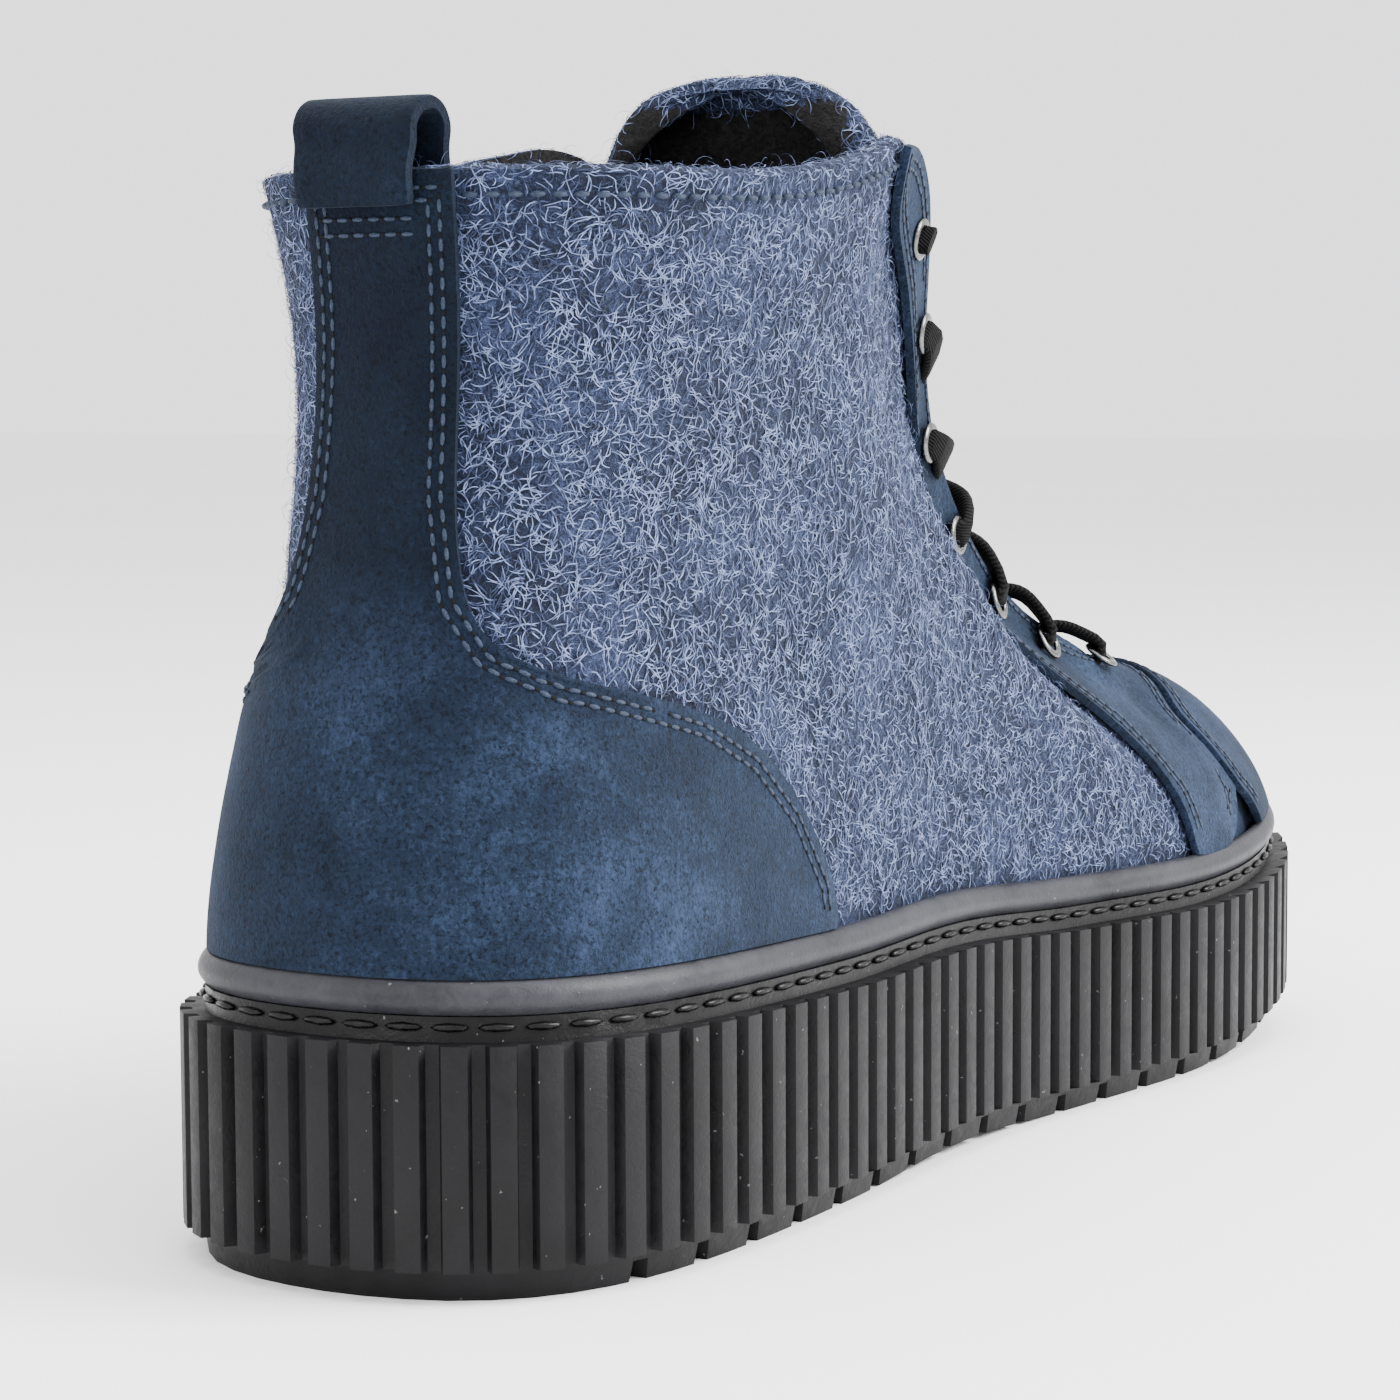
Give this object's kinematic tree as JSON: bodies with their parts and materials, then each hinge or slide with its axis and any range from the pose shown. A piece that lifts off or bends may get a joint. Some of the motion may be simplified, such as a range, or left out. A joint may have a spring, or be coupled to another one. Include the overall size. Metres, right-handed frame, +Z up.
{
  "type": "felt ankle boot",
  "caption": "Lace-up felt high-top ankle boot with nubuck heel counter, eyestay and toe cap on a ribbed rubber cup sole, right foot.",
  "frame": {"origin": "on the floor, under the middle of the sole's outline", "axes": "+Z up, +Y towards the toe, +X towards the wearer's right, the outer side of the foot"},
  "size_m": [0.1055, 0.288, 0.1717],
  "materials": {
    "rubber": "satin",
    "felt": "woolly melange felt",
    "nubuck": "napped nubuck",
    "lining": "matt",
    "lace": "woven flat lace",
    "eyelet_metal": "silvery"
  },
  "bodies": {
    "root": {"outsole": "rubber", "welt_bead": "rubber", "insole": "lining", "upper": "felt", "heel_counter": "nubuck", "vamp_eyestay": "nubuck", "toe_cap": "nubuck", "tongue": "felt", "pull_loop": "nubuck", "eyelet_right_1": "eyelet_metal", "eyelet_right_2": "eyelet_metal", "eyelet_right_3": "eyelet_metal", "eyelet_right_4": "eyelet_metal", "eyelet_right_5": "eyelet_metal", "eyelet_right_6": "eyelet_metal", "eyelet_right_7": "eyelet_metal", "eyelet_left_1": "eyelet_metal", "eyelet_left_2": "eyelet_metal", "eyelet_left_3": "eyelet_metal", "eyelet_left_4": "eyelet_metal", "eyelet_left_5": "eyelet_metal", "eyelet_left_6": "eyelet_metal", "eyelet_left_7": "eyelet_metal", "lace_1": "lace", "lace_2": "lace", "lace_3": "lace", "lace_4": "lace", "lace_5": "lace", "lace_6": "lace"}
  },
  "joints": []
}
